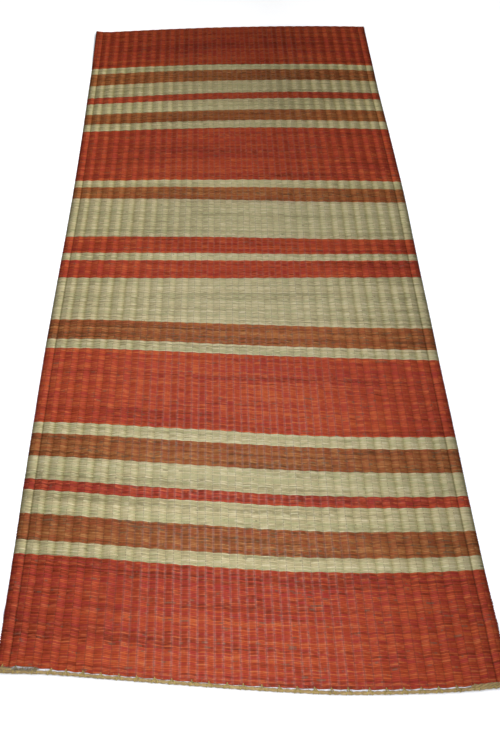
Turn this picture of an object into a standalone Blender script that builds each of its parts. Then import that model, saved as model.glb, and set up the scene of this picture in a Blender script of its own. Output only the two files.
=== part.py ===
"""Sedge floor mat lying flat: a ribbed woven sheet and the cord hitched along its near end.

Metres, +Z up, X across the mat, Y along it with the far end at +Y. The underside lies at
z = 0 and the origin is under the middle of the whole mat's bounding box.
"""

import math
from typing import NamedTuple

import bmesh
import bpy

MM = 0.001

# The mat across its width, from one selvedge to the other
MAT_WIDTH = 0.900
EDGE_STRIP = 0.006
SELVEDGE_RIDGE = 0.018
OUTER_RIB = 0.026
FULL_RIBS = 26

# Heights over the floor
EDGE_THICKNESS = 0.0018
VALLEY_THICKNESS = 0.0024
SELVEDGE_THICKNESS = 0.0042
RIB_THICKNESS = 0.0046
RIB_FULLNESS = 2.6
POINTS_PER_RIB = 5

# The first and last rows of sedge are rounded off
END_ROUNDING = 0.006
END_THICKNESS_SHARE = 0.62

# The far left corner curls up a little
CURL_REACH = 0.055
CURL_HEIGHT = 0.0065
CURL_ROWS = 4

# The flat underside keeps one row of the solid in this many
UNDERSIDE_ROW_STEP = 3

# Shape of a bent row: a bow about its own mean, and an S that leaves the slant alone
BOW_MEAN = 1 / 3
SWAY_SLANT = 0.6

# The end cord: two plies, hitched to the mat by a pair of warps at each valley
PLY_RADIUS = 0.0026
WAIST_RADIUS = 0.0021
LAY_LENGTH = 0.024
HITCH_BULGE = 0.0007
HITCH_HALF_LENGTH = 0.004
TIE_HALF_WIDTH = 0.0014
CORD_SIDES = 8
STEPS_PER_LAY = 8
CORD_END_INSET = 0.002
SEAT_GAP = 0.0003
FIRST_HITCH_SHIFT = 0.009
LAST_HITCH_SHIFT = -0.003


class Lie(NamedTuple):
    """How one crosswise row of sedge lies on the floor.

    along is the row's mean place on Y; left and right are how far the selvedges stand
    out (mm) past half the width; slant, bow and sway (mm) bend the row along Y.
    """

    along: float
    left: float
    right: float
    slant: float
    bow: float
    sway: float


# Near end first, as the mat lies: its ends bow outwards and its near half slants
LIES = (
    Lie(along=-1.003, left=-3.0, right=2.0, slant=-21.0, bow=-19.0, sway=11.0),
    Lie(along=-0.920, left=-2.5, right=1.5, slant=-22.5, bow=-17.5, sway=11.0),
    Lie(along=-0.804, left=-1.5, right=-0.5, slant=-24.0, bow=-15.0, sway=10.5),
    Lie(along=-0.650, left=1.0, right=-1.0, slant=-27.5, bow=-11.0, sway=7.0),
    Lie(along=-0.520, left=2.0, right=0.0, slant=-28.5, bow=-7.0, sway=9.5),
    Lie(along=-0.320, left=3.0, right=0.5, slant=-27.0, bow=-2.0, sway=5.0),
    Lie(along=-0.235, left=2.0, right=1.5, slant=-24.0, bow=-1.0, sway=6.0),
    Lie(along=-0.094, left=0.5, right=2.0, slant=-8.0, bow=-3.0, sway=1.0),
    Lie(along=0.041, left=-1.5, right=3.0, slant=-16.5, bow=2.0, sway=4.0),
    Lie(along=0.178, left=-3.0, right=4.5, slant=-19.5, bow=2.0, sway=6.0),
    Lie(along=0.256, left=-3.0, right=4.0, slant=-12.0, bow=7.0, sway=0.0),
    Lie(along=0.480, left=-2.0, right=0.0, slant=-5.5, bow=13.0, sway=-1.0),
    Lie(along=0.640, left=0.0, right=-4.0, slant=1.5, bow=18.0, sway=-3.0),
    Lie(along=0.800, left=1.5, right=-5.0, slant=-3.0, bow=17.0, sway=-1.0),
    Lie(along=0.940, left=3.5, right=-6.0, slant=2.0, bow=16.0, sway=-1.0),
    Lie(along=0.999, left=5.0, right=-6.0, slant=4.0, bow=15.7, sway=-1.3),
)


class Slack(NamedTuple):
    """How the cord lies off the mat's near edge at one place across.

    gap_mm is the space between them, and filled is the share of it that the cord's
    own end takes up where it is turned back and lies doubled.
    """

    across: float
    gap_mm: float
    filled: float = 0.0


# From the left corner to the right: loose beside the left corner, doubled at both ends
SLACKS = (
    Slack(across=-0.450, gap_mm=2.8, filled=1.0),
    Slack(across=-0.430, gap_mm=3.6, filled=1.0),
    Slack(across=-0.410, gap_mm=5.6),
    Slack(across=-0.360, gap_mm=5.0),
    Slack(across=-0.325, gap_mm=3.4),
    Slack(across=-0.250, gap_mm=2.0),
    Slack(across=-0.190, gap_mm=2.0),
    Slack(across=-0.120, gap_mm=1.3),
    Slack(across=-0.050, gap_mm=2.2),
    Slack(across=0.060, gap_mm=3.0),
    Slack(across=0.130, gap_mm=3.8),
    Slack(across=0.300, gap_mm=3.6),
    Slack(across=0.365, gap_mm=3.8),
    Slack(across=0.385, gap_mm=3.6, filled=1.0),
    Slack(across=0.450, gap_mm=2.6, filled=1.0),
)

# Plain colours of the two materials, as linear values
SEDGE_RED = (0.36, 0.045, 0.020, 1.0)
JUTE_TAN = (0.38, 0.26, 0.11, 1.0)
SEDGE_ROUGHNESS = 0.62
JUTE_ROUGHNESS = 0.85


def smooth_between(places, values, place):
    """Value of a smooth curve through (place, value) pairs given in rising order."""
    last = len(places) - 1
    if place <= places[0]:
        return values[0]
    if place >= places[last]:
        return values[last]
    i = max(k for k in range(last) if places[k] <= place)
    span = places[i + 1] - places[i]
    t = (place - places[i]) / span

    def tangent(k):
        lo, hi = max(k - 1, 0), min(k + 1, last)
        return (values[hi] - values[lo]) / (places[hi] - places[lo]) * span

    rise = 3 * t * t - 2 * t ** 3
    start_pull = t * (1 - t) ** 2
    end_pull = t * t * (t - 1)
    return (values[i] * (1 - rise) + values[i + 1] * rise
            + tangent(i) * start_pull + tangent(i + 1) * end_pull)


def lie_value(column, along):
    """One column of the lie table, in metres, at a place along the mat."""
    places = [lie.along for lie in LIES]
    values = [getattr(lie, column) * MM for lie in LIES]
    return smooth_between(places, values, along)


def mat_point(across, along):
    """Floor place of the sheet's point at a nominal place across and along."""
    side = 2 * across / MAT_WIDTH
    left_out = lie_value("left", along)
    right_out = lie_value("right", along)
    x = across + right_out * (1 + side) / 2 - left_out * (1 - side) / 2
    y = (along + lie_value("slant", along) * side
         + lie_value("bow", along) * (BOW_MEAN - side ** 2)
         + lie_value("sway", along) * (side ** 3 - SWAY_SLANT * side))
    return x, y


def rib_valleys():
    """Places across the mat of the valleys between ribs, left to right."""
    first = -MAT_WIDTH / 2 + EDGE_STRIP + SELVEDGE_RIDGE + OUTER_RIB
    pitch = -2 * first / FULL_RIBS
    inner = [first + pitch * i for i in range(FULL_RIBS + 1)]
    return [first - OUTER_RIB, *inner, -first + OUTER_RIB]


def rib_profile():
    """(place across, height) pairs of the sheet's top from selvedge to selvedge."""
    valleys = rib_valleys()
    edge = MAT_WIDTH / 2
    profile = [(-edge, EDGE_THICKNESS)]
    bounds = [-edge + EDGE_STRIP, *valleys, edge - EDGE_STRIP]
    for start, end in zip(bounds[:-1], bounds[1:]):
        outermost = start == bounds[0] or end == bounds[-1]
        crest = SELVEDGE_THICKNESS if outermost else RIB_THICKNESS
        for step in range(POINTS_PER_RIB):
            t = step / POINTS_PER_RIB
            fullness = 1 - abs(2 * t - 1) ** RIB_FULLNESS
            height = VALLEY_THICKNESS + (crest - VALLEY_THICKNESS) * fullness
            profile.append((start + (end - start) * t, height))
    profile.append((bounds[-1], VALLEY_THICKNESS))
    profile.append((edge, EDGE_THICKNESS))
    return profile


def row_places():
    """Places along the mat of the solid's rows, near end first."""
    near, far = LIES[0].along, LIES[-1].along
    curl_start = far - CURL_REACH
    places = {near, near + END_ROUNDING, far - END_ROUNDING, far}
    places.update(lie.along for lie in LIES[1:-1] if lie.along < curl_start)
    for step in range(CURL_ROWS):
        places.add(curl_start + (CURL_REACH - END_ROUNDING) * step / CURL_ROWS)
    return sorted(places)


def corner_lift(x, y):
    """Height by which the far left corner curls off the floor."""
    corner_x, corner_y = mat_point(-MAT_WIDTH / 2, LIES[-1].along)
    reach = math.hypot(x - corner_x, y - corner_y) / CURL_REACH
    return CURL_HEIGHT * max(0.0, 1 - reach) ** 2


def new_material(name, colour, roughness):
    """A plain Principled material."""
    material = bpy.data.materials.new(name)
    material.use_nodes = True
    shader = material.node_tree.nodes["Principled BSDF"]
    shader.inputs["Base Color"].default_value = colour
    shader.inputs["Roughness"].default_value = roughness
    shader.inputs["Metallic"].default_value = 0.0
    return material


def new_object(name, mesh_builder, material):
    """One object whose mesh comes from a bmesh, with its material."""
    mesh = bpy.data.meshes.new(name)
    bmesh.ops.recalc_face_normals(mesh_builder, faces=mesh_builder.faces[:])
    mesh_builder.to_mesh(mesh)
    mesh_builder.free()
    mesh.materials.append(material)
    mesh.shade_smooth()
    mesh.set_sharp_from_angle(angle=math.radians(40))
    thing = bpy.data.objects.new(name, mesh)
    bpy.context.scene.collection.objects.link(thing)
    return thing


def make_woven_mat():
    """The ribbed sheet: a grid shaped on top, pulled down to a flat underside."""
    profile = rib_profile()
    rows = row_places()
    builder = bmesh.new()
    bmesh.ops.create_grid(builder, x_segments=len(profile) - 1,
                          y_segments=len(rows) - 1, size=1.0)
    place_of = {}
    for vertex in builder.verts:
        column = round((vertex.co.x + 1) / 2 * (len(profile) - 1))
        row = round((vertex.co.y + 1) / 2 * (len(rows) - 1))
        place_of[vertex] = (column, row)
    lower = bmesh.ops.extrude_face_region(builder, geom=builder.faces[:], use_keep_orig=True)
    lower_faces = [g for g in lower["geom"] if isinstance(g, bmesh.types.BMFace)]
    lower_verts = [g for g in lower["geom"] if isinstance(g, bmesh.types.BMVert)]
    row_of_lower = {}
    for vertex in lower_verts:
        column = round((vertex.co.x + 1) / 2 * (len(profile) - 1))
        row = round((vertex.co.y + 1) / 2 * (len(rows) - 1))
        row_of_lower[vertex] = row
        x, y = mat_point(profile[column][0], rows[row])
        vertex.co = (x, y, corner_lift(x, y))
    for vertex, (column, row) in place_of.items():
        across, height = profile[column]
        x, y = mat_point(across, rows[row])
        at_end = row in (0, len(rows) - 1)
        share = END_THICKNESS_SHARE if at_end else 1.0
        vertex.co = (x, y, height * share + corner_lift(x, y))
    thin_out_underside(builder, lower_faces, row_of_lower, rows)
    material = new_material("woven_sedge", SEDGE_RED, SEDGE_ROUGHNESS)
    return new_object("woven_mat", builder, material)


def thin_out_underside(builder, faces, row_of, rows):
    """Join the flat underside's faces along the mat, leaving one row in a few."""
    curl_start = LIES[-1].along - CURL_REACH
    spare = set()
    for face in faces:
        for edge in face.edges:
            ends = [row_of.get(vertex) for vertex in edge.verts]
            if None in ends or ends[0] != ends[1] or len(edge.link_faces) != 2:
                continue
            row = ends[0]
            inside = 0 < row and rows[row] < curl_start
            if inside and row % UNDERSIDE_ROW_STEP:
                spare.add(edge)
    bmesh.ops.dissolve_edges(builder, edges=list(spare), use_verts=True)


def hitch_places():
    """Places across the mat of the hitches that tie the cord, left to right."""
    valleys = rib_valleys()
    last = len(valleys) - 1
    shift_step = (LAST_HITCH_SHIFT - FIRST_HITCH_SHIFT) / last
    return [valley + FIRST_HITCH_SHIFT + shift_step * i for i, valley in enumerate(valleys)]


def free_run(start, end):
    """Places that split a stretch of cord between hitches into even steps."""
    steps = max(1, round((end - start) * STEPS_PER_LAY / LAY_LENGTH))
    return [start + (end - start) * step / steps for step in range(1, steps + 1)]


def cord_stations():
    """(place across, whether a hitch is there) pairs along the cord, left to right."""
    half = MAT_WIDTH / 2 - CORD_END_INSET
    stations = [(-half, False)]
    for place in hitch_places():
        run = free_run(stations[-1][0], place - HITCH_HALF_LENGTH)
        stations.extend((across, False) for across in run)
        stations.extend((place + offset, True) for offset in (-TIE_HALF_WIDTH, TIE_HALF_WIDTH))
        stations.append((place + HITCH_HALF_LENGTH, False))
    stations.extend((across, False) for across in free_run(stations[-1][0], half))
    return stations


def edge_point(across):
    """Floor place on the mat's near edge."""
    return mat_point(across, LIES[0].along)


def cord_ring(across, hitched):
    """The ring of points around the cord at one station, drawn to the mat at a hitch."""
    places = [slack.across for slack in SLACKS]
    gap = MM * smooth_between(places, [slack.gap_mm for slack in SLACKS], across)
    filled = smooth_between(places, [slack.filled for slack in SLACKS], across)
    doubled = max(0.0, min(1.0, filled)) * (gap - SEAT_GAP)
    edge_x, edge_y = edge_point(across)
    centre_y = edge_y - gap - PLY_RADIUS
    centre_z = PLY_RADIUS + HITCH_BULGE / 2
    turn = 2 * math.pi * across / LAY_LENGTH
    ring = []
    for side in range(CORD_SIDES):
        angle = 2 * math.pi * side / CORD_SIDES
        ply = (1 + math.cos(2 * (angle - turn))) / 2
        radius = WAIST_RADIUS + (PLY_RADIUS - WAIST_RADIUS) * ply
        if hitched:
            radius = PLY_RADIUS + HITCH_BULGE
        y = centre_y + radius * math.cos(angle) + doubled * max(0.0, math.cos(angle))
        if hitched and side == 0:
            y = edge_y - SEAT_GAP
        z = max(0.0, centre_z + radius * math.sin(angle))
        ring.append((edge_x, y, z))
    return ring


def make_end_cord():
    """The twisted cord along the near end, swept ring by ring with its hitches."""
    builder = bmesh.new()
    previous = None
    first = None
    for across, hitched in cord_stations():
        ring = [builder.verts.new(point) for point in cord_ring(across, hitched)]
        edges = [builder.edges.new((ring[i], ring[(i + 1) % CORD_SIDES]))
                 for i in range(CORD_SIDES)]
        if previous is None:
            first = edges
        else:
            bmesh.ops.bridge_loops(builder, edges=previous + edges)
        previous = edges
    bmesh.ops.contextual_create(builder, geom=first)
    bmesh.ops.contextual_create(builder, geom=previous)
    material = new_material("jute_cord", JUTE_TAN, JUTE_ROUGHNESS)
    return new_object("end_cord", builder, material)


def centre_on_origin(things):
    """Move the meshes so that the origin is under the middle of their shared box."""
    corners = [vertex.co for thing in things for vertex in thing.data.vertices]
    middle_x = (min(c.x for c in corners) + max(c.x for c in corners)) / 2
    middle_y = (min(c.y for c in corners) + max(c.y for c in corners)) / 2
    for thing in things:
        for vertex in thing.data.vertices:
            vertex.co.x -= middle_x
            vertex.co.y -= middle_y


def main():
    """Build the mat."""
    for thing in list(bpy.data.objects):
        bpy.data.objects.remove(thing, do_unlink=True)
    centre_on_origin([make_woven_mat(), make_end_cord()])


main()
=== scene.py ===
"""Sedge floor mat laid out flat, with the twisted jute cord that its warps are hitched over.

Metres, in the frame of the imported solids: +Z up, X across the mat, Y along it with the far
end at +Y. Sizes marked mm are in millimetres.
"""

import logging
import math
from dataclasses import dataclass, field
from enum import Enum

import bmesh
import bpy
import numpy as np
from mathutils import Matrix, Vector


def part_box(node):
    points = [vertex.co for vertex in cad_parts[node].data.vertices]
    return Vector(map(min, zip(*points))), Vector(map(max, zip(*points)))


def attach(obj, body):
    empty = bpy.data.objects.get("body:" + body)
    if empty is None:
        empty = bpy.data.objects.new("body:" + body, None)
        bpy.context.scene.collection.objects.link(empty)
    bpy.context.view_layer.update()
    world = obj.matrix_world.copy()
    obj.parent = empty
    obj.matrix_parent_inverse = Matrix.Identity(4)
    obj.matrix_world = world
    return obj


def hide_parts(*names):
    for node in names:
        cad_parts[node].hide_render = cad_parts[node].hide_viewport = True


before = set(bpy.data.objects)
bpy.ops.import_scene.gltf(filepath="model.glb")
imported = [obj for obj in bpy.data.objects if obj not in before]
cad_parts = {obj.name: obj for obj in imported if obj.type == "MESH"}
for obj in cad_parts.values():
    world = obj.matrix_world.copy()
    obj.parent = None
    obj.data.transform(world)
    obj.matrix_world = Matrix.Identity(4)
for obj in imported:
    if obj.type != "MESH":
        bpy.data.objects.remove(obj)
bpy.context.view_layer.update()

LOG = logging.getLogger("sedge_mat")
MM = 0.001
BODY = "root"
Range = tuple[float, float]
Colour = tuple[float, float, float]


# The mat's lie on the floor


def smooth_between(places: np.ndarray, values: np.ndarray, at: np.ndarray) -> np.ndarray:
    """Read a smooth curve through (place, value) pairs at many places.

    Args:
        places: Rising places of the pairs.
        values: Their values.
        at: Places to read the curve at; past the ends it stays level.

    Returns:
        The curve's value at each place.
    """
    last = len(places) - 1
    at = np.clip(at, places[0], places[last])
    i = np.clip(np.searchsorted(places, at, side="right") - 1, 0, last - 1)
    span = places[i + 1] - places[i]
    t = (at - places[i]) / span

    def pull(k: np.ndarray) -> np.ndarray:
        """Slope of the curve at pair k, times the span."""
        low, high = np.maximum(k - 1, 0), np.minimum(k + 1, last)
        return (values[high] - values[low]) / (places[high] - places[low]) * span

    rise = 3 * t * t - 2 * t ** 3
    return (values[i] * (1 - rise) + values[i + 1] * rise
            + pull(i) * t * (1 - t) ** 2 + pull(i + 1) * t * t * (t - 1))


@dataclass(frozen=True)
class MatLie:
    """How the rows of sedge lie: where the selvedges stand and how each row bends.

    Each row of the table is (along, left, right, slant, bow, sway): its mean place on Y in
    metres, how far the selvedges stand out past half the width (mm), and the bends (mm).
    """

    width: float = 0.900
    bow_mean: float = 1 / 3
    sway_slant: float = 0.6
    curl_reach: float = 0.055
    curl_height: float = 0.0065
    rows: tuple[tuple[float, ...], ...] = (
        (-1.003, -3.0, 2.0, -21.0, -19.0, 11.0),
        (-0.920, -2.5, 1.5, -22.5, -17.5, 11.0),
        (-0.804, -1.5, -0.5, -24.0, -15.0, 10.5),
        (-0.650, 1.0, -1.0, -27.5, -11.0, 7.0),
        (-0.520, 2.0, 0.0, -28.5, -7.0, 9.5),
        (-0.320, 3.0, 0.5, -27.0, -2.0, 5.0),
        (-0.235, 2.0, 1.5, -24.0, -1.0, 6.0),
        (-0.094, 0.5, 2.0, -8.0, -3.0, 1.0),
        (0.041, -1.5, 3.0, -16.5, 2.0, 4.0),
        (0.178, -3.0, 4.5, -19.5, 2.0, 6.0),
        (0.256, -3.0, 4.0, -12.0, 7.0, 0.0),
        (0.480, -2.0, 0.0, -5.5, 13.0, -1.0),
        (0.640, 0.0, -4.0, 1.5, 18.0, -3.0),
        (0.800, 1.5, -5.0, -3.0, 17.0, -1.0),
        (0.940, 3.5, -6.0, 2.0, 16.0, -1.0),
        (0.999, 5.0, -6.0, 4.0, 15.7, -1.3),
    )

    @property
    def near(self) -> float:
        """Mean place of the near end."""
        return self.rows[0][0]

    @property
    def far(self) -> float:
        """Mean place of the far end."""
        return self.rows[-1][0]

    def bend(self, column: int, along: np.ndarray) -> np.ndarray:
        """One column of the table, in metres, at places along the mat."""
        table = np.array(self.rows)
        return smooth_between(table[:, 0], table[:, column] * MM, along)

    def drawn(self, across: np.ndarray, along: np.ndarray) -> tuple[np.ndarray, np.ndarray]:
        """Bend nominal places into the rows' real lie, before the mat is centred.

        Args:
            across: Nominal places across the mat.
            along: Nominal places along it.

        Returns:
            The places on X and on Y.
        """
        side = 2 * across / self.width
        x = (across + self.bend(2, along) * (1 + side) / 2
             - self.bend(1, along) * (1 - side) / 2)
        y = (along + self.bend(3, along) * side
             + self.bend(4, along) * (self.bow_mean - side ** 2)
             + self.bend(5, along) * (side ** 3 - self.sway_slant * side))
        return x, y

    def centring(self) -> tuple[float, float]:
        """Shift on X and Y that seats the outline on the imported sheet.

        Returns:
            The two shifts.
        """
        low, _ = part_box("woven_mat")
        half = self.width / 2
        ends = np.array([row[0] for row in self.rows])
        left, _ = self.drawn(np.full_like(ends, -half), ends)
        across = np.linspace(-half, half, 301)
        _, near = self.drawn(across, np.full_like(across, self.near))
        return float(low.x - left.min()), float(low.y - near.min())

    def place(self, across: np.ndarray, along: np.ndarray) -> tuple[np.ndarray, np.ndarray]:
        """Places on X and Y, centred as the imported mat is.

        Args:
            across: Nominal places across the mat.
            along: Nominal places along it.

        Returns:
            The places on X and on Y.
        """
        x, y = self.drawn(across, along)
        shift_x, shift_y = self.centring()
        return x + shift_x, y + shift_y

    def curl(self, x: np.ndarray, y: np.ndarray) -> np.ndarray:
        """Height by which the far left corner curls off the floor.

        Args:
            x: Places on X.
            y: Places on Y.

        Returns:
            The height at each place.
        """
        corner = self.place(np.array([-self.width / 2]), np.array([self.far]))
        reach = np.hypot(x - corner[0][0], y - corner[1][0]) / self.curl_reach
        return self.curl_height * np.maximum(0.0, 1 - reach) ** 2


@dataclass(frozen=True)
class Buckle:
    """A low swell where the mat stands a little off the floor along its rows."""

    left: float
    right: float
    along: float
    rise: float
    reach: float
    fade: float = 0.05

    def height(self, across: np.ndarray, along: np.ndarray) -> np.ndarray:
        """Height of the swell at nominal places on the mat.

        Args:
            across: Nominal places across the mat.
            along: Nominal places along it.

        Returns:
            The height at each place.
        """
        ends = (1 / (1 + np.exp(-(across - self.left) / self.fade * 4))
                / (1 + np.exp((across - self.right) / self.fade * 4)))
        return self.rise * ends * np.exp(-((along - self.along) / self.reach) ** 2)


@dataclass(frozen=True)
class Columns:
    """Places across the mat where its surface has points, left to right.

    crest is 0 in a valley and 1 on a rib; beat is 1 at a valley's warp, -1 at a crest's.
    """

    across: np.ndarray
    height: np.ndarray
    crest: np.ndarray
    beat: np.ndarray
    warp: np.ndarray


@dataclass(frozen=True)
class RibPlan:
    """The ribs and selvedge ridges that run along the mat."""

    width: float = 0.900
    edge_strip: float = 0.006
    selvedge_ridge: float = 0.0168
    outer_rib: float = 0.026
    full_ribs: int = 26
    valley: float = 0.0018
    crest: float = 0.0044
    roundness: float = 0.22
    phases: tuple[float, ...] = (0.0, 0.13, 0.29, 0.50, 0.71, 0.87)
    edge_mm: tuple[tuple[float, float], ...] = (
        (0.0, 0.7), (2.0, 1.6), (5.0, 2.7), (8.0, 3.5), (11.0, 4.0), (14.0, 4.2),
        (17.0, 3.9), (19.6, 3.0), (21.6, 2.2),
    )

    def valleys(self) -> np.ndarray:
        """Places across of the valleys between ribs, left to right.

        Returns:
            The places.
        """
        first = -self.width / 2 + self.edge_strip + self.selvedge_ridge + self.outer_rib
        inner = np.linspace(first, -first, self.full_ribs + 1)
        return np.concatenate([[first - self.outer_rib], inner, [-first + self.outer_rib]])

    def share(self, height_mm: float) -> float:
        """Share of a rib's height, from 0 at a valley's level to 1 at a crest's."""
        return max(0.0, (height_mm * MM - self.valley) / (self.crest - self.valley))

    def arch(self, phase: float) -> float:
        """Share of a rib's height at a place across it, from 0 at one valley to 1."""
        wave = (1 - math.cos(2 * math.pi * phase)) / 2
        return wave + self.roundness * (1 - (2 * phase - 1) ** 2 - wave)

    def columns(self) -> Columns:
        """All places across, from one selvedge to the other.

        Returns:
            The columns of the weave.
        """
        half = self.width / 2
        rows: list[tuple[float, float, float, float, bool]] = []
        for step, height in self.edge_mm:
            rows.append((-half + step * MM, height * MM, self.share(height), 0.0, False))
        valleys = self.valleys()
        for start, end in zip(valleys[:-1], valleys[1:]):
            for phase in self.phases:
                share = self.arch(phase)
                height = self.valley + (self.crest - self.valley) * share
                rows.append((start + (end - start) * phase, height, share,
                             math.cos(2 * math.pi * phase), phase in (0.0, 0.5)))
        rows.append((valleys[-1], self.valley, 0.0, 1.0, True))
        for step, height in reversed(self.edge_mm):
            rows.append((half - step * MM, height * MM, self.share(height), 0.0, False))
        across, height, crest, beat, warp = (np.array(part) for part in zip(*rows))
        return Columns(across, height, crest, beat, warp.astype(bool))


# Stripes and stems


class Dye(Enum):
    """The dyes of the sedge."""

    RED = "red"
    DEEP_RED = "deep_red"
    BROWN = "brown"
    NATURAL = "natural"


@dataclass(frozen=True)
class Stripe:
    """One stripe of the mat: its dye, its width in mm and how bright its dye took."""

    dye: Dye
    width_mm: float
    shade: float = 1.0


@dataclass(frozen=True)
class StripePlan:
    """The stripes from the far end to the near one."""

    stripes: tuple[Stripe, ...] = (
        Stripe(Dye.RED, 211.3), Stripe(Dye.NATURAL, 28.0, 1.07),
        Stripe(Dye.BROWN, 57.2, 1.08), Stripe(Dye.NATURAL, 61.5),
        Stripe(Dye.DEEP_RED, 31.1, 1.03), Stripe(Dye.NATURAL, 52.9, 1.04),
        Stripe(Dye.BROWN, 48.2, 0.97), Stripe(Dye.NATURAL, 33.5),
        Stripe(Dye.RED, 219.8), Stripe(Dye.NATURAL, 29.0, 1.06),
        Stripe(Dye.BROWN, 48.9, 0.98), Stripe(Dye.NATURAL, 136.5, 0.94),
        Stripe(Dye.RED, 55.0, 0.95), Stripe(Dye.NATURAL, 23.0),
        Stripe(Dye.RED, 56.9), Stripe(Dye.NATURAL, 141.4, 0.97),
        Stripe(Dye.BROWN, 58.7), Stripe(Dye.NATURAL, 26.5),
        Stripe(Dye.RED, 197.3), Stripe(Dye.NATURAL, 27.7, 1.03),
        Stripe(Dye.BROWN, 53.3, 0.93), Stripe(Dye.NATURAL, 52.6),
        Stripe(Dye.DEEP_RED, 23.9, 1.16), Stripe(Dye.NATURAL, 49.8, 1.05),
        Stripe(Dye.BROWN, 51.7, 0.95), Stripe(Dye.NATURAL, 27.3, 1.03),
        Stripe(Dye.RED, 199.0),
    )

    def near_first(self) -> list[Stripe]:
        """The stripes from the near end to the far one."""
        return list(reversed(self.stripes))


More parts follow.
